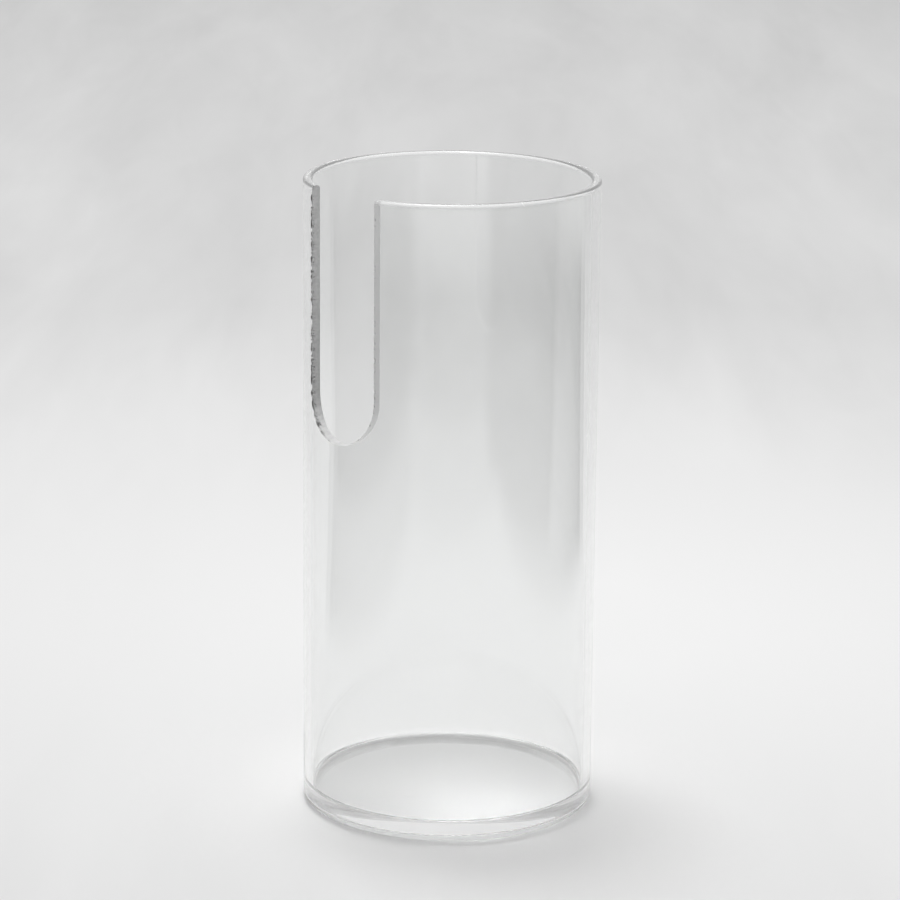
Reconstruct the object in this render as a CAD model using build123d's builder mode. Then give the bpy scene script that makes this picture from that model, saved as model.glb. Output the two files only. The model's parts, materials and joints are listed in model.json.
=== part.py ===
from build123d import *
from math import sqrt
import os

# Clear glass guitar slide: a thin tube that stands on its closed end, with a round-bottomed
# slot ground down from the open rim so that the finger's knuckle can bend.
# All sizes are in millimetres. +Z runs up the tube, the slot faces -Y, and the origin is the
# centre of the flat underside.

# Driving dimensions
outer_diameter = 25.0
wall = 0.8
height = 54.6
rim_round = 0.3  # fire-polished edges of the open end

slot_width = 8.0
slot_depth = 21.1  # from the rim to the lowest point of the slot

floor_level = 1.7  # flat inside floor
inner_fillet = 0.4  # inside corner between floor and wall
heel_radius = 0.9  # outside corner between wall and flat underside

# Sizes worked out from them
outer_radius = outer_diameter / 2
bore_radius = outer_radius - wall
seam_level = floor_level + inner_fillet
slot_end_radius = slot_width / 2
slot_end_level = height - slot_depth + slot_end_radius
foot_radius = outer_radius - heel_radius
floor_radius = bore_radius - inner_fillet
arc_middle = 1 - 1 / sqrt(2)  # how far a quarter circle's middle lies inside its corner, in radii
past_wall = 2.0  # how far the slot's cut runs out beyond the tube

os.makedirs("parts", exist_ok=True)

# Barrel: a plain tube from the seam up to the polished rim, with the slot ground through one side
with BuildPart() as slotted_tube:
    with BuildSketch(Plane.XY.offset(seam_level)):
        Circle(outer_radius)
        Circle(bore_radius, mode=Mode.SUBTRACT)
    extrude(amount=height - seam_level)
    rim = slotted_tube.faces().sort_by(Axis.Z)[-1]
    fillet(rim.edges(), radius=rim_round)
    with BuildSketch(Plane.XZ):
        with Locations((0, slot_end_level)):
            Circle(slot_end_radius)
            Rectangle(slot_width, slot_depth, align=(Align.CENTER, Align.MIN))
    extrude(amount=outer_radius + past_wall, mode=Mode.SUBTRACT)

# Closed end: one turned section, with the flat underside, the rounded heel, a short length of
# wall up to the seam, and the inside fillet that runs down to the flat floor
with BuildPart() as closed_end:
    with BuildSketch(Plane.XZ):
        with BuildLine():
            underside_middle = (0, 0)
            foot_edge = (foot_radius, 0)
            heel_middle = (outer_radius - heel_radius * arc_middle, heel_radius * arc_middle)
            heel_top = (outer_radius, heel_radius)
            seam_out = (outer_radius, seam_level)
            seam_in = (bore_radius, seam_level)
            fillet_middle = (
                bore_radius - inner_fillet * arc_middle,
                floor_level + inner_fillet * arc_middle,
            )
            floor_edge = (floor_radius, floor_level)
            floor_middle = (0, floor_level)
            Line(underside_middle, foot_edge)
            ThreePointArc(foot_edge, heel_middle, heel_top)
            Line(heel_top, seam_out)
            Line(seam_out, seam_in)
            ThreePointArc(seam_in, fillet_middle, floor_edge)
            Line(floor_edge, floor_middle)
            Line(floor_middle, underside_middle)
        make_face()
    revolve(axis=Axis.Z)

slotted_tube.part.label = "slotted_tube"
closed_end.part.label = "closed_end"

export_step(slotted_tube.part, "parts/slotted_tube.step")
export_step(closed_end.part, "parts/closed_end.step")
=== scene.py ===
import json
import math

import bpy
from mathutils import Matrix, Vector, noise


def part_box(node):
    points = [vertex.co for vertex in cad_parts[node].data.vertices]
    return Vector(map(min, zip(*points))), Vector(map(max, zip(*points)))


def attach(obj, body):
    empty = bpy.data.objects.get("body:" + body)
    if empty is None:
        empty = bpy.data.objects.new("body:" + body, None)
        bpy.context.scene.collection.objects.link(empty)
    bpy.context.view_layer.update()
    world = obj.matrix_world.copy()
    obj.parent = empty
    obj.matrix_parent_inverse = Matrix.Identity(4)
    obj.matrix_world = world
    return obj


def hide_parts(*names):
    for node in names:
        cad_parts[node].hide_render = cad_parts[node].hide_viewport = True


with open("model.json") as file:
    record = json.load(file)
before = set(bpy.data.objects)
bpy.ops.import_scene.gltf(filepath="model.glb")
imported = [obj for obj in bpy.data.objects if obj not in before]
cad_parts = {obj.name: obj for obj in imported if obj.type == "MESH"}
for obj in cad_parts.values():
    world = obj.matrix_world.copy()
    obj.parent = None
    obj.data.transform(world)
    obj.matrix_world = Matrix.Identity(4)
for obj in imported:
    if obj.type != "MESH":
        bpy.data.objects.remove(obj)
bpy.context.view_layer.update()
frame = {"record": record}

MM = 0.001

# ---------------------------------------------------------------- sizes
MOUNTS = {mount["name"]: mount for mount in frame["record"]["mounts"]}
TUBE_LOW, TUBE_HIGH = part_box("slotted_tube")
OUTER = MOUNTS["barrel"]["dims"]["r_mm"] * MM
BORE = MOUNTS["finger_bore"]["dims"]["r_mm"] * MM
TOP = TUBE_HIGH[2]
SEAM = TUBE_LOW[2]

# sizes that the frame doesn't state, as the CAD part has them
RIM_ROUND = 0.3 * MM
SLOT_HALF = 4.0 * MM
SLOT_DEPTH = 21.1 * MM
SLOT_CENTRE = TOP - SLOT_DEPTH + SLOT_HALF
SLOT_BOTTOM = SLOT_CENTRE - SLOT_HALF
FLOOR_LEVEL = 1.7 * MM
FILLET = 0.4 * MM
HEEL = 0.9 * MM

NOTHING = 1e-7  # metres; lengths below this count as none
SHARP = math.radians(35)  # edges that turn more than this stay crisp
UNDER_FOOT = 0.03 * MM  # air between the underside and the paper


# ---------------------------------------------------------------- mesh helpers
def smooth(value, low, high):
    """0 below low, 1 above high and an S-shaped rise between them."""
    t = min(1.0, max(0.0, (value - low) / (high - low)))
    return t * t * (3 - 2 * t)


def mesh_object(name, verts, faces, slots=None):
    """A new object from points and faces; slots gives each face's material index."""
    mesh = bpy.data.meshes.new(name)
    mesh.from_pydata(verts, [], faces)
    if slots:
        mesh.polygons.foreach_set("material_index", slots)
    mesh.polygons.foreach_set("use_smooth", [True] * len(mesh.polygons))
    mesh.update()
    piece = bpy.data.objects.new(name, mesh)
    bpy.context.scene.collection.objects.link(piece)
    return piece


def without_repeats(corners):
    """A face's corners with those that fall together merged."""
    return [v for i, v in enumerate(corners) if v not in corners[:i]]


def arc(centre_r, centre_z, radius, start, end, steps):
    """Points of a circular arc in the (r, z) section, without its first point."""
    points = []
    for i in range(1, steps + 1):
        a = math.radians(start + (end - start) * i / steps)
        points.append((centre_r + radius * math.cos(a), centre_z + radius * math.sin(a)))
    return points


def turned(name, section, steps, slot_of):
    """A closed solid of revolution; slot_of gives a band's material from its two section points."""
    verts, rings = [], []
    for r, z in section:
        if r < NOTHING:
            rings.append([len(verts)] * steps)
            verts.append((0, 0, z))
            continue
        rings.append(list(range(len(verts), len(verts) + steps)))
        for k in range(steps):
            a = 2 * math.pi * k / steps
            verts.append((r * math.cos(a), r * math.sin(a), z))
    faces, slots = [], []
    for i in range(len(section) - 1):
        low, high = rings[i], rings[i + 1]
        slot = slot_of(section[i], section[i + 1])
        for k in range(steps):
            n = (k + 1) % steps
            faces.append(without_repeats([low[k], low[n], high[n], high[k]]))
            slots.append(slot)
    piece = mesh_object(name, verts, faces, slots)
    piece.data.set_sharp_from_angle(angle=SHARP)
    return piece


# ---------------------------------------------------------------- closed end
END_GLASS, END_JOINT, END_WORN_SHADED = 0, 1, 2  # material slots
END_COLUMNS = 384
FLAT_STEPS, HEEL_STEPS, WALL_STEPS, FILLET_STEPS = 48, 32, 8, 16
WORN_SHADED_UP_TO = 0.72 * MM  # the heel's worn band, with its painted shade, ends at this height


def end_section():
    """Half section of the closed end: underside, heel, wall, joint, inside corner, floor."""
    foot, floor_r = OUTER - HEEL, BORE - FILLET
    wall_steps = range(1, WALL_STEPS + 1)
    section = [(foot * i / FLAT_STEPS, 0) for i in range(FLAT_STEPS + 1)]
    section += arc(foot, HEEL, HEEL, -90, 0, HEEL_STEPS)
    section += [(OUTER, HEEL + (SEAM - HEEL) * i / WALL_STEPS) for i in wall_steps]
    section += [(OUTER + (BORE - OUTER) * i / WALL_STEPS, SEAM) for i in wall_steps]
    section += arc(floor_r, SEAM, FILLET, 0, -90, FILLET_STEPS)
    section += [(floor_r * (1 - i / FLAT_STEPS), FLOOR_LEVEL) for i in range(1, FLAT_STEPS + 1)]
    return section


def end_slot(start, end):
    """The material of a band of the closed end: the joint, the worn heel with its painted shade, or plain
    glass.
    """
    if max(abs(start[1] - SEAM), abs(end[1] - SEAM)) < NOTHING:
        return END_JOINT
    mean_r, mean_z = (start[0] + end[0]) / 2, (start[1] + end[1]) / 2
    if mean_r > OUTER - HEEL and mean_z < WORN_SHADED_UP_TO:
        return END_WORN_SHADED
    return END_GLASS


# ---------------------------------------------------------------- slotted tube
TUBE_GLASS, TUBE_GROUND, TUBE_JOINT, TUBE_CHIPPED, TUBE_RIM = 0, 1, 2, 3, 4  # material slots
COLUMNS = 320
LAYERS = 8  # through the wall, on the slot's faces and the two end rings
CROWDING = 0.72  # how far the columns crowd towards the slot
EDGE_BLEND = 12  # the slot's edge points ease into the round wall over 1 / 12 of the turn
LOW_ROWS, ARC_ROWS, SIDE_ROWS, RIM_ROWS = 12, 45, 260, 10
SIDE_FROM = LOW_ROWS + ARC_ROWS - 1  # the row where the slot's straight sides begin
SIDE_TO = SIDE_FROM + SIDE_ROWS
LAST_ROW = SIDE_TO + RIM_ROWS
NEAR_SLOT = 24  # columns on each side of the slot that keep every row
ROWS_APART = 8  # past them the straight part keeps only one row in eight

CHIP_SIZE = 0.24 * MM
CHIP_LEAST = 0.12  # share of the size that is worn off everywhere
CHIP_RIGHT = 0.25  # the right edge's chips as a share of the left edge's
CHIP_SPAN = 6  # columns and half-layers that a chip's slope runs over
CHIP_DENT, DENT_SPAN = 0.6, 4  # how far a chip also sinks towards the axis, and over how many columns
CHIP_SEEN, SEEN_RISE = 0.030 * MM, 1.6  # depth where a face looks broken, and its rise for each layer
COARSE_CHIP, FINE_CHIP = 0.31 * MM, 0.12 * MM  # lengths along the edge
CHIP_FREE = 0.6 * MM  # the edge has no chips this close to the rim
CHIPS_FULL, CHIPS_FEW = 2 * MM, 15 * MM  # above the slot's centre, the chips thin out between these
EDGE_COLUMNS = 2  # columns beside the slot whose outside can look broken


def slot_half_width(z):
    """Half the slot's width at a height: 0 below the slot."""
    if z >= SLOT_CENTRE:
        return SLOT_HALF
    drop = SLOT_CENTRE - z
    if drop >= SLOT_HALF:
        return 0.0
    return math.sqrt(SLOT_HALF**2 - drop**2)


def tube_rows():
    """Heights of the rows, each with its outer and inner radius."""
    straight = TOP - RIM_ROUND - SLOT_CENTRE
    rows = [SEAM + (SLOT_BOTTOM - SEAM) * i / LOW_ROWS for i in range(LOW_ROWS)]
    turns = [math.radians(90 * i / (ARC_ROWS - 1)) for i in range(ARC_ROWS)]
    rows += [SLOT_CENTRE - SLOT_HALF * math.cos(a) for a in turns]
    rows += [SLOT_CENTRE + straight * i / SIDE_ROWS for i in range(1, SIDE_ROWS + 1)]
    out = [(z, OUTER, BORE) for z in rows]
    for i in range(1, RIM_ROWS + 1):
        a = math.radians(90 * i / RIM_ROWS)
        inset = RIM_ROUND * (1 - math.cos(a))
        out.append((TOP - RIM_ROUND + RIM_ROUND * math.sin(a), OUTER - inset, BORE + inset))
    return out


def kept_row(column, row):
    """The row that a column uses: every row near the slot, and fewer where the wall is plain."""
    if min(column, COLUMNS - column) <= NEAR_SLOT or not SIDE_FROM < row < SIDE_TO:
        return row
    return row - (row - SIDE_FROM) % ROWS_APART


def flake(z, length, place, lift):
    """Noise along the edge, with only its peaks kept."""
    return max(0.0, noise.noise(Vector((*place, z / length))) + lift)


def chip_depth(side, z):
    """How deep the outer edge of the slot is chipped at a height; most on its lower left side."""
    if z > TOP - CHIP_FREE or z < SLOT_CENTRE - 0.97 * SLOT_HALF:
        return 0.0
    low = 1 - smooth(z, SLOT_CENTRE + CHIPS_FULL, SLOT_CENTRE + CHIPS_FEW)
    low *= smooth(z, SLOT_BOTTOM, SLOT_CENTRE)
    coarse = flake(z, COARSE_CHIP, (side * 7.3, 4.1), 0.08)
    fine = flake(z, FINE_CHIP, (side * 3.1, 9.7), 0.05)
    flakes = coarse * 1.2 + fine * 0.9
    share = 1.0 if side < 0 else CHIP_RIGHT
    return CHIP_SIZE * share * (CHIP_LEAST + flakes * (0.45 + 0.55 * low))


class TubeGrid:
    """The tube's points and faces, on a grid of columns, rows and layers through the wall.

    Column 0 is the slot's right-hand face and column COLUMNS its left-hand one. Below the
    slot the two are the same column. Layer 0 is the outside and layer LAYERS the bore.
    """

    def __init__(self):
        self.rows = tube_rows()
        self.verts, self.index = [], {}
        self.faces, self.slots = [], []

    def point(self, column, row, layer):
        """Where the grid point at a column, row and layer lies."""
        z, outer, inner = self.rows[row]
        half = slot_half_width(z)
        y_out, y_in = math.sqrt(outer**2 - half**2), math.sqrt(inner**2 - half**2)
        y = y_out + (y_in - y_out) * layer / LAYERS
        r_edge, a_edge = math.hypot(half, y), math.atan2(half, y)
        r_far = outer + (inner - outer) * layer / LAYERS
        even = column / COLUMNS
        turn = even - CROWDING * math.sin(2 * math.pi * even) / (2 * math.pi)
        blend = min(1.0, min(turn, 1 - turn) * EDGE_BLEND)
        r = r_edge + (r_far - r_edge) * blend if half > 0 else r_far
        a = a_edge + (2 * math.pi - 2 * a_edge) * turn
        steps_in = min(column, COLUMNS - column)
        if half > 0 and steps_in < CHIP_SPAN and 2 * layer < CHIP_SPAN:
            side = 1 if column < COLUMNS / 2 else -1
            deep = chip_depth(side, z) * (1 - 2 * layer / CHIP_SPAN)
            a += side * deep * (1 - steps_in / CHIP_SPAN) / outer
            if layer == 0:
                r -= CHIP_DENT * deep * max(0, 1 - steps_in / DENT_SPAN)
        return r * math.sin(a), -r * math.cos(a), z

    def vert(self, column, row, layer):
        """The index of a grid point, made when first asked for."""
        row = kept_row(column, row)
        if slot_half_width(self.rows[row][0]) < NOTHING and column == COLUMNS:
            column = 0
        key = (column, row, layer)
        if key not in self.index:
            self.index[key] = len(self.verts)
            self.verts.append(self.point(*key))
        return self.index[key]

    def quad(self, slot, *corners):
        """A face between grid points, left out where they fall together."""
        face = without_repeats([self.vert(*corner) for corner in corners])
        if len(face) > 2:
            self.faces.append(face)
            self.slots.append(slot)

    def edge_slot(self, side, row, plain, seen=CHIP_SEEN):
        """The material of a face at the slot's outer edge: chipped, or the plain one."""
        z = (self.rows[row][0] + self.rows[row + 1][0]) / 2
        return TUBE_CHIPPED if chip_depth(side, z) > seen else plain

    def add_walls(self, row):
        """The outside and the bore between a row and the next."""
        up = row + 1
        in_rim = row >= SIDE_TO
        in_slot = slot_half_width(self.rows[row][0]) > 0
        plain = TUBE_RIM if in_rim else TUBE_GLASS
        for a in range(COLUMNS):
            b = a + 1
            outside = plain
            if not in_rim and in_slot and min(a, COLUMNS - b) < EDGE_COLUMNS:
                outside = self.edge_slot(1 if a < EDGE_COLUMNS else -1, row, TUBE_GLASS)
            self.quad(outside, (a, row, 0), (b, row, 0), (b, up, 0), (a, up, 0))
            self.quad(plain, (b, row, LAYERS), (a, row, LAYERS), (a, up, LAYERS), (b, up, LAYERS))

    def add_slot_faces(self, row):
        """The slot's two ground faces between a row and the next."""
        up, last = row + 1, COLUMNS
        for out in range(LAYERS):
            within = out + 1
            right = left = TUBE_GROUND
            if out < CHIP_SPAN / 2:
                seen = CHIP_SEEN * (1 + SEEN_RISE * out)
                right = self.edge_slot(1, row, TUBE_GROUND, seen)
                left = self.edge_slot(-1, row, TUBE_GROUND, seen)
            self.quad(right, (0, row, within), (0, row, out), (0, up, out), (0, up, within))
            self.quad(left, (last, row, out), (last, row, within), (last, up, within), (last, up, out))

    def add_end_rings(self):
        """The flat top of the rim, and the ring at the joint with the closed end."""
        top = LAST_ROW
        for a in range(COLUMNS):
            b = a + 1
            for out in range(LAYERS):
                within = out + 1
                self.quad(TUBE_RIM, (a, top, out), (b, top, out), (b, top, within), (a, top, within))
                self.quad(TUBE_JOINT, (b, 0, out), (a, 0, out), (a, 0, within), (b, 0, within))


def make_tube():
    """The slotted tube, from its joint at the bottom to the rim."""
    grid = TubeGrid()
    for row in range(LAST_ROW):
        grid.add_walls(row)
        if slot_half_width(grid.rows[row + 1][0]) > NOTHING:
            grid.add_slot_faces(row)
    grid.add_end_rings()
    piece = mesh_object("glass_tube", grid.verts, grid.faces, grid.slots)
    piece.data.set_sharp_from_angle(angle=SHARP)
    return piece


# ---------------------------------------------------------------- shader helpers
def new_material(name):
    """A node material, with its node tree and its Principled shader."""
    material = bpy.data.materials.new(name)
    material.use_nodes = True
    return material, material.node_tree, material.node_tree.nodes["Principled BSDF"]


def math_node(tree, operation, *values):
    """A Math node whose inputs are numbers or other nodes' outputs."""
    node = tree.nodes.new("ShaderNodeMath")
    node.operation = operation
    for i, value in enumerate(values):
        if isinstance(value, (int, float)):
            node.inputs[i].default_value = value
        else:
            tree.links.new(value, node.inputs[i])
    return node.outputs["Value"]


def vector_node(tree, operation, vector, fixed):
    """A Vector Math node between another node's output and a fixed vector."""
    node = tree.nodes.new("ShaderNodeVectorMath")
    node.operation = operation
    node.inputs[1].default_value = fixed
    tree.links.new(vector, node.inputs[0])
    return node


def ramp(tree, value, low, high, start, end, shape="SMOOTHSTEP"):
    """A Map Range node: value going from low to high gives start to end."""
    node = tree.nodes.new("ShaderNodeMapRange")
    node.interpolation_type = shape
    tree.links.new(value, node.inputs["Value"])
    for label, number in (("From Min", low), ("From Max", high), ("To Min", start), ("To Max", end)):
        node.inputs[label].default_value = number
    return node.outputs["Result"]


def object_place(tree, scale=(1, 1, 1)):
    """The object's own coordinates in metres, stretched by a scale for each axis."""
    coords = tree.nodes.new("ShaderNodeTexCoord")
    return vector_node(tree, "MULTIPLY", coords.outputs["Object"], scale).outputs["Vector"]


def noise_node(tree, vector, scale, detail, roughness=0.5, distortion=0.0):
    """A Noise Texture's value."""
    node = tree.nodes.new("ShaderNodeTexNoise")
    node.inputs["Scale"].default_value = scale
    node.inputs["Detail"].default_value = detail
    node.inputs["Roughness"].default_value = roughness
    node.inputs["Distortion"].default_value = distortion
    tree.links.new(vector, node.inputs["Vector"])
    return node.outputs["Fac"]


def bump_into(tree, shader, height, strength, distance):
    """Bend a shader's normal by a height pattern."""
    bump = tree.nodes.new("ShaderNodeBump")
    bump.inputs["Strength"].default_value = strength
    bump.inputs["Distance"].default_value = distance
    tree.links.new(height, bump.inputs["Height"])
    tree.links.new(bump.outputs["Normal"], shader.inputs["Normal"])


def mix_into_output(tree, share, first, second):
    """Mix two shaders by a share from 0 to 1 and send the result to the material's output."""
    mix = tree.nodes.new("ShaderNodeMixShader")
    tree.links.new(share, mix.inputs["Fac"])
    tree.links.new(first, mix.inputs[1])
    tree.links.new(second, mix.inputs[2])
    tree.links.new(mix.outputs["Shader"], tree.nodes["Material Output"].inputs["Surface"])


# ---------------------------------------------------------------- materials
GLASS_IOR = 1.5
TUBE_TINT = (0.967, 0.971, 0.969, 1)
END_TINT = (0.999, 1.0, 0.9995, 1)

WAVES = 0.13 * MM  # depth of the tube's waves as bump
WAVE_SCALE = (90, 90, 22)  # waves for each metre: they run lengthwise
END_WAVES = 0.25  # the closed end's waves as a share of the tube's
SCUFF_SCALE, SCUFF_WIDTH, SCUFF_ROUGH = 160, 0.0035, 0.22
PATCH_SCALE = 95  # of the patches that have scuffs

# painted shade: the grey tint darkens the heel's worn band; its roughness is the wear
WORN_HEEL_SHADE_TINT = (0.76, 0.76, 0.76, 1)
HEEL_ROUGH = 0.45
RIM_ROUGH = 0.2
RIM_CLEAR = 0.7


def glass_material(name, tint, roughness=0.0, waviness=1.0, clear=1.0):
    """Glass with gentle lengthwise waves, a few hairline scuffs and a given polish."""
    material, tree, shader = new_material(name)
    shader.inputs["Base Color"].default_value = tint
    shader.inputs["Transmission Weight"].default_value = clear
    shader.inputs["IOR"].default_value = GLASS_IOR
    waves = noise_node(tree, object_place(tree, WAVE_SCALE), 1.0, 1.5, 0.4)
    bump_into(tree, shader, waves, 1.0, WAVES * waviness)
    place = object_place(tree)
    swirl = noise_node(tree, place, SCUFF_SCALE, 2, 0.5, 2.0)
    contour = math_node(tree, "ABSOLUTE", math_node(tree, "SUBTRACT", swirl, 0.5))
    hairline = ramp(tree, contour, 0.0, SCUFF_WIDTH, 1.0, 0.0)
    patches = ramp(tree, noise_node(tree, place, PATCH_SCALE, 1), 0.52, 0.66, 0.0, 1.0)
    scuffs = math_node(tree, "MULTIPLY", hairline, patches)
    rough = math_node(tree, "ADD", math_node(tree, "MULTIPLY", scuffs, SCUFF_ROUGH), roughness)
    tree.links.new(rough, shader.inputs["Roughness"])
    return material


GRIT_SCALE, GRIT_DEPTH = 5200, 0.03 * MM
STREAK_SCALE = (900, 900, 5200)  # grinding marks run across the slot's faces
GROUND_ROUGH = 0.55
GROUND_TONE, GROUND_PAINTED_TOP_LIGHT = 0.60, 0.95  # the tone on upright faces, and the lighter tone painted on the slot's upward-facing bottom as painted light from above
GROUND_CLEAR, GROUND_CLEAR_LOW = 0.45, 0.3  # share of clear glass, in the same order
GROUND_PAINTED_WITHIN = 0.22  # painted light: tone added where a face is seen from inside the glass
GROUND_THROUGH = 0.85  # share of light let through, seen from inside the glass
GROUND_LIT = (0.60, 0.60, 0.60, 1)


def ground_glass():
    """The slot's ground faces: frosted and speckled, with painted light: lighter where they curve upwards,
    as if lit from above, and lighter where seen from inside the glass.
    """
    material, tree, shader = new_material("ground_glass")
    shader.inputs["IOR"].default_value = GLASS_IOR
    shader.inputs["Roughness"].default_value = GROUND_ROUGH
    grit = noise_node(tree, object_place(tree), GRIT_SCALE, 2, 0.6)
    streaks = noise_node(tree, object_place(tree, STREAK_SCALE), 1.0, 2, 0.6)
    facing = tree.nodes.new("ShaderNodeNewGeometry")
    parts = tree.nodes.new("ShaderNodeSeparateXYZ")
    tree.links.new(facing.outputs["Normal"], parts.inputs["Vector"])
    # painted light: faces that turn upwards are painted lighter, as if lit from above
    top_lit_share = ramp(tree, math_node(tree, "ABSOLUTE", parts.outputs["Z"]), 0.15, 0.8, 0.0, 1.0)
    within = math_node(tree, "MULTIPLY", facing.outputs["Backfacing"], GROUND_PAINTED_WITHIN)
    speckle = ramp(tree, grit, 0.35, 0.65, 0.86, 1.08, "LINEAR")
    lines = ramp(tree, streaks, 0.3, 0.7, 0.90, 1.06, "LINEAR")
    tone = ramp(tree, top_lit_share, 0, 1, GROUND_TONE, GROUND_PAINTED_TOP_LIGHT, "LINEAR")
    tone = math_node(tree, "MINIMUM", math_node(tree, "ADD", tone, within), 1.0)
    grey = math_node(tree, "MULTIPLY", tone, math_node(tree, "MULTIPLY", speckle, lines))
    tree.links.new(grey, shader.inputs["Base Color"])
    clear = ramp(tree, top_lit_share, 0, 1, GROUND_CLEAR, GROUND_CLEAR_LOW, "LINEAR")
    tree.links.new(clear, shader.inputs["Transmission Weight"])
    bump_into(tree, shader, grit, 0.7, GRIT_DEPTH)
    lit_through = tree.nodes.new("ShaderNodeBsdfTranslucent")
    lit_through.inputs["Color"].default_value = GROUND_LIT
    share = math_node(tree, "MULTIPLY", facing.outputs["Backfacing"], GROUND_THROUGH)
    mix_into_output(tree, share, shader.outputs["BSDF"], lit_through.outputs["BSDF"])
    return material


CHIPPED_TONE = 0.42
CHIPPED_CLEAR = 0.35
CHIPPED_SCALE = 7000


def chipped_glass():
    """The small broken facets along the slot's outer edge, darker than the ground face."""
    material, tree, shader = new_material("chipped_glass")
    shader.inputs["IOR"].default_value = GLASS_IOR
    shader.inputs["Transmission Weight"].default_value = CHIPPED_CLEAR
    grit = noise_node(tree, object_place(tree), CHIPPED_SCALE, 2, 0.6)
    tone = ramp(tree, grit, 0.35, 0.65, 0.3, 1.7, "LINEAR")
    grey = math_node(tree, "MULTIPLY", tone, CHIPPED_TONE)
    tree.links.new(grey, shader.inputs["Base Color"])
    tree.links.new(ramp(tree, grit, 0.3, 0.7, 0.25, 0.6), shader.inputs["Roughness"])
    return material


def fused_joint():
    """The face inside the glass where the two pieces are fused: light crosses it unbent."""
    material, tree, shader = new_material("fused_joint")
    tree.nodes.remove(shader)
    clear = tree.nodes.new("ShaderNodeBsdfTransparent")
    tree.links.new(clear.outputs["BSDF"], tree.nodes["Material Output"].inputs["Surface"])
    return material


# ---------------------------------------------------------------- stage
VIEW_AZIMUTH = 49.0  # degrees that the camera stands round from the slot's side
VIEW_TURN = Matrix.Rotation(math.radians(VIEW_AZIMUTH), 4, "Z")


def from_camera(right, away, up):
    """A fixed place, given by the directions at the camera and turned into the part's frame."""
    return VIEW_TURN @ Vector((right, away, up))


KEY = (-0.068, 0.145, 0.785)  # the key light's place: high up, behind and a little to the left
KEY_SIZE = 0.21
KEY_POWER = 2.35
BACK_GLOW = 0.78
FRONT_GLOW = 0.67
GLOW_SPAN = 0.8  # the front glow turns into the back one between minus and plus this, of 1

# painted light: the paper's colour is palest near the object and darker far off, a painted pool of light
PAPER_POOL_LIT, PAPER_POOL_DIM = 0.825, 0.64
PAINTED_LIGHT_POOL = (0.012, 0.050, 0.0)  # the middle of the pool of light painted into the paper's colour
PAINTED_POOL_NEAR, PAINTED_POOL_FAR = 0.015, 0.15
PAINTED_CAUSTIC_GAIN = 1.20  # painted light: how much paler the paper's colour is painted where the glass gathers the key's light, a painted caustic
PAINTED_CAUSTIC_SHIFT = 0.003  # from the tube's axis, straight away from the key
PAINTED_CAUSTIC_REACH = 0.0155
FOLD_STRETCH = 0.17  # away from the camera the marks are drawn out to 1 / 0.17 of their width
# painted light and shade: cloudy crease marks painted into the paper's colour, lighter and darker
CLOUD_SHADE_SCALE, CLOUD_SHADE_DEPTH = 36, 0.30
CREASE_SHADE_SCALE, CREASE_SHADE_DEPTH = 110, 0.06
MARKS_NEAR, MARKS_FAR = 0.04, 0.12  # the painted crease shade grows from faint to full over these distances
MARKS_FAINT = 0.12


def centred(tree, pattern, depth):
    """A 0 to 1 pattern moved to swing about 0 by a depth."""
    return math_node(tree, "MULTIPLY", math_node(tree, "SUBTRACT", pattern, 0.5), depth)


def floor_paper():
    """Pale matt paper with painted light: a painted pool of light round the object, a painted caustic
    under it, and faint cloudy crease marks of painted shade.
    """
    material, tree, shader = new_material("floor_paper")
    shader.inputs["Roughness"].default_value = 0.9
    shader.inputs["Specular IOR Level"].default_value = 0.0
    place = object_place(tree)
    turn = tree.nodes.new("ShaderNodeVectorRotate")
    turn.rotation_type = "Z_AXIS"
    turn.inputs["Angle"].default_value = -math.radians(VIEW_AZIMUTH)
    tree.links.new(place, turn.inputs["Vector"])
    folds = vector_node(tree, "MULTIPLY", turn.outputs["Vector"], (1, FOLD_STRETCH, 1)).outputs["Vector"]
    offset = vector_node(tree, "DISTANCE", place, from_camera(*PAINTED_LIGHT_POOL)).outputs["Value"]
    # painted light: the pool of light painted into the paper's colour
    painted_pool = ramp(tree, offset, PAINTED_POOL_NEAR, PAINTED_POOL_FAR, PAPER_POOL_LIT, PAPER_POOL_DIM, "LINEAR")
    cloud_shade = noise_node(tree, folds, CLOUD_SHADE_SCALE, 4, 0.55, 0.4)
    crease_shade = noise_node(tree, folds, CREASE_SHADE_SCALE, 2, 0.5, 1.5)
    far = ramp(tree, offset, MARKS_NEAR, MARKS_FAR, MARKS_FAINT, 1.0)
    both = math_node(tree, "ADD", centred(tree, cloud_shade, CLOUD_SHADE_DEPTH), centred(tree, crease_shade, CREASE_SHADE_DEPTH))
    marks = math_node(tree, "MULTIPLY", both, far)
    grey = math_node(tree, "MULTIPLY", painted_pool, math_node(tree, "ADD", marks, 1.0))
    # painted light: a paler patch painted into the paper under the glass, a painted caustic
    away_from_key = Vector((-KEY[0], -KEY[1], 0)).normalized() * PAINTED_CAUSTIC_SHIFT
    caustic_distance = vector_node(tree, "DISTANCE", place, from_camera(*away_from_key)).outputs["Value"]
    painted_caustic = ramp(tree, caustic_distance, 0.0, PAINTED_CAUSTIC_REACH, PAINTED_CAUSTIC_GAIN, 1.0)
    tree.links.new(math_node(tree, "MULTIPLY", grey, painted_caustic), shader.inputs["Base Color"])
    return material


FLOOR_STEPS = 128
FLOOR_RINGS = [0.02 * 1.12**i for i in range(32)] + [0.9, 1.2, 1.6, 2.4]


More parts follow.
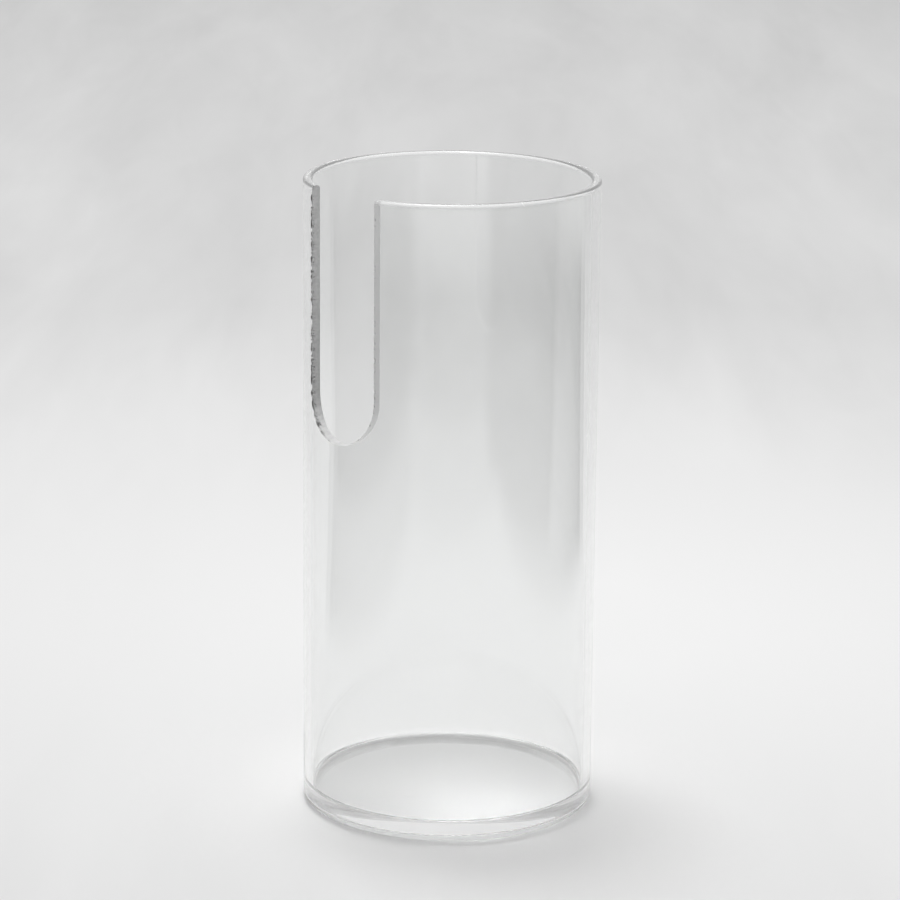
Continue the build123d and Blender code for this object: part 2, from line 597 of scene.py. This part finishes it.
def floor():
    """A round sheet of paper just under the object."""
    verts, faces = [(0, 0, -UNDER_FOOT)], []
    for r in FLOOR_RINGS:
        for k in range(FLOOR_STEPS):
            a = 2 * math.pi * k / FLOOR_STEPS
            verts.append((r * math.cos(a), r * math.sin(a), -UNDER_FOOT))
    for k in range(FLOOR_STEPS):
        n = (k + 1) % FLOOR_STEPS
        faces.append((0, 1 + k, 1 + n))
        for i in range(len(FLOOR_RINGS) - 1):
            near, far = 1 + i * FLOOR_STEPS, 1 + (i + 1) * FLOOR_STEPS
            faces.append((near + k, far + k, far + n, near + n))
    piece = mesh_object("floor", verts, faces)
    piece.data.materials.append(floor_paper())
    return piece


# the painted reflection: a glowing sheet seen only in the glass, standing in for the dark room
SHEET_RIGHT, SHEET_LEFT, SHEET_FRONT = 0.071, 0.058, 0.099  # how far the mirrored paper reaches
LEFT_SLOPE = -0.06  # metres that its left edge moves out for each metre in front; minus is in
TABLE_NEAR, TABLE_FAR = 0.045, 0.9
TABLE_FROM, TABLE_TO = -105, 123  # degrees from straight in front, plus being to the right
TABLE_RINGS, TABLE_STEPS = 40, 120
DARK_EDGE = 0.013  # half the width of the dark's soft edge
DARK_LEVEL = 0.0015  # height above the paper
GAP_ANGLE, GAP_BLUR = 30, 4  # a paler wedge straight in front, degrees to each side
GAP_NEAR, GAP_FAR = 0.30, 1.35
SIDE_NEAR, SIDE_FAR = 0.0, 0.72
LIGHT_NEAR, LIGHT_FAR = 0.205, 0.275  # the dark turns from the near to the far level here


def dark_shade(right, front):
    """How much of the paper's mirror image the painted reflection's dark covers at a place, and its own
    light.
    """
    outside = max(right - SHEET_RIGHT, -right - SHEET_LEFT - LEFT_SLOPE * front, front - SHEET_FRONT)
    angle = abs(math.degrees(math.atan2(right, front)))
    gap = 1 - smooth(angle, GAP_ANGLE - GAP_BLUR, GAP_ANGLE + GAP_BLUR)
    near = SIDE_NEAR + (GAP_NEAR - SIDE_NEAR) * gap
    far = SIDE_FAR + (GAP_FAR - SIDE_FAR) * gap
    light = near + (far - near) * smooth(math.hypot(right, front), LIGHT_NEAR, LIGHT_FAR)
    return smooth(outside, -DARK_EDGE, DARK_EDGE), light


def painted_reflection_material():
    """Painted reflection: seen only by one reflection in the glass, glowing with the cover and the light
    from the mesh.
    """
    material, tree, shader = new_material("painted_reflection_sheet")
    tree.nodes.remove(shader)
    shade = tree.nodes.new("ShaderNodeAttribute")
    shade.attribute_name = "shade"
    split = tree.nodes.new("ShaderNodeSeparateColor")
    tree.links.new(shade.outputs["Color"], split.inputs["Color"])
    path = tree.nodes.new("ShaderNodeLightPath")
    mirrored = math_node(tree, "COMPARE", path.outputs["Glossy Depth"], 1.0, 0.1)
    direct = math_node(tree, "LESS_THAN", path.outputs["Diffuse Depth"], 0.5)
    seen = math_node(tree, "MULTIPLY", mirrored, direct)
    cover = math_node(tree, "MULTIPLY", seen, split.outputs["Red"])
    clear = tree.nodes.new("ShaderNodeBsdfTransparent")
    glow = tree.nodes.new("ShaderNodeEmission")
    tree.links.new(split.outputs["Green"], glow.inputs["Strength"])
    mix_into_output(tree, cover, clear.outputs["BSDF"], glow.outputs["Emission"])
    return material


def painted_reflection_sheet():
    """A painted reflection: a glowing sheet for the dark room in front of the paper, which shows only as
    reflections in the glass.
    """
    verts, faces, shades = [], [], []
    for i in range(TABLE_RINGS + 1):
        r = TABLE_NEAR * (TABLE_FAR / TABLE_NEAR) ** (i / TABLE_RINGS)
        for k in range(TABLE_STEPS + 1):
            a = math.radians(TABLE_FROM + (TABLE_TO - TABLE_FROM) * k / TABLE_STEPS)
            right, front = r * math.sin(a), r * math.cos(a)
            verts.append(from_camera(right, -front, DARK_LEVEL))
            shades += [*dark_shade(right, front), 0, 1]
    across = TABLE_STEPS + 1
    for i in range(TABLE_RINGS):
        for k in range(TABLE_STEPS):
            a = i * across + k
            faces.append((a, a + 1, a + across + 1, a + across))
    piece = mesh_object("painted_reflection_sheet", verts, faces)
    piece.data.attributes.new("shade", "FLOAT_COLOR", "POINT")
    piece.data.attributes["shade"].data.foreach_set("color", shades)
    piece.visible_camera = piece.visible_diffuse = piece.visible_shadow = False
    piece.data.materials.append(painted_reflection_material())
    return piece


def key_light():
    """One square lamp, aimed at the object's foot."""
    light = bpy.data.lights.new("key", "AREA")
    light.shape = "RECTANGLE"
    light.size = light.size_y = KEY_SIZE
    light.energy = KEY_POWER
    lamp = bpy.data.objects.new("key", light)
    bpy.context.scene.collection.objects.link(lamp)
    lamp.location = from_camera(*KEY)
    lamp.rotation_euler = (-lamp.location).to_track_quat("-Z", "Y").to_euler()
    return lamp


def studio_world():
    """Soft light from all round, brighter from behind the object than from the camera's side."""
    world = bpy.data.worlds.new("studio")
    world.use_nodes = True
    tree = world.node_tree
    background = tree.nodes["Background"]
    background.inputs["Color"].default_value = (1, 1, 1, 1)
    place = tree.nodes.new("ShaderNodeTexCoord")
    across = vector_node(tree, "DOT_PRODUCT", place.outputs["Generated"], from_camera(0, 1, 0))
    glow = ramp(tree, across.outputs["Value"], -GLOW_SPAN, GLOW_SPAN, FRONT_GLOW, BACK_GLOW)
    tree.links.new(glow, background.inputs["Strength"])
    bpy.context.scene.world = world


LENS, SENSOR = 152.04, 36.0  # millimetres
CAMERA_AWAY, CAMERA_LEVEL = 0.313, 0.1136
PITCH, ROLL = 14.79, 0.51  # degrees


def camera():
    """The camera: its lens, its place and its tilt."""
    data = bpy.data.cameras.new("camera")
    data.sensor_width, data.lens = SENSOR, LENS
    data.clip_start, data.clip_end = 0.001, 50
    eye = bpy.data.objects.new("camera", data)
    bpy.context.scene.collection.objects.link(eye)
    down = Matrix.Rotation(math.radians(90 - PITCH), 4, "X")
    tilt = Matrix.Rotation(math.radians(ROLL), 4, "Z")
    place = Matrix.Translation(from_camera(0, -CAMERA_AWAY, CAMERA_LEVEL))
    eye.matrix_world = place @ VIEW_TURN @ down @ tilt
    bpy.context.scene.camera = eye


# ---------------------------------------------------------------- build
joint = fused_joint()

tube = make_tube()
tube.data.materials.append(glass_material("clear_glass", TUBE_TINT))
tube.data.materials.append(ground_glass())
tube.data.materials.append(joint)
tube.data.materials.append(chipped_glass())
tube.data.materials.append(glass_material("rim_glass", TUBE_TINT, RIM_ROUGH, 1.0, RIM_CLEAR))
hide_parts("slotted_tube")
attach(tube, "root")

end = turned("glass_end", end_section(), END_COLUMNS, end_slot)
end.data.materials.append(glass_material("end_glass", END_TINT, 0.0, END_WAVES))
end.data.materials.append(joint)
end.data.materials.append(glass_material("worn_shaded_heel", WORN_HEEL_SHADE_TINT, HEEL_ROUGH, 0.0))
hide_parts("closed_end")
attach(end, "root")

floor()
painted_reflection_sheet()
studio_world()
key_light()
camera()

scene = bpy.context.scene
scene.view_settings.view_transform = "Standard"
cycles = scene.cycles  # light crosses many glass surfaces, and no reflection is blurred
cycles.max_bounces = cycles.transmission_bounces = cycles.glossy_bounces = 48
cycles.diffuse_bounces = 8
cycles.transparent_max_bounces = 32
cycles.blur_glossy = 0.0
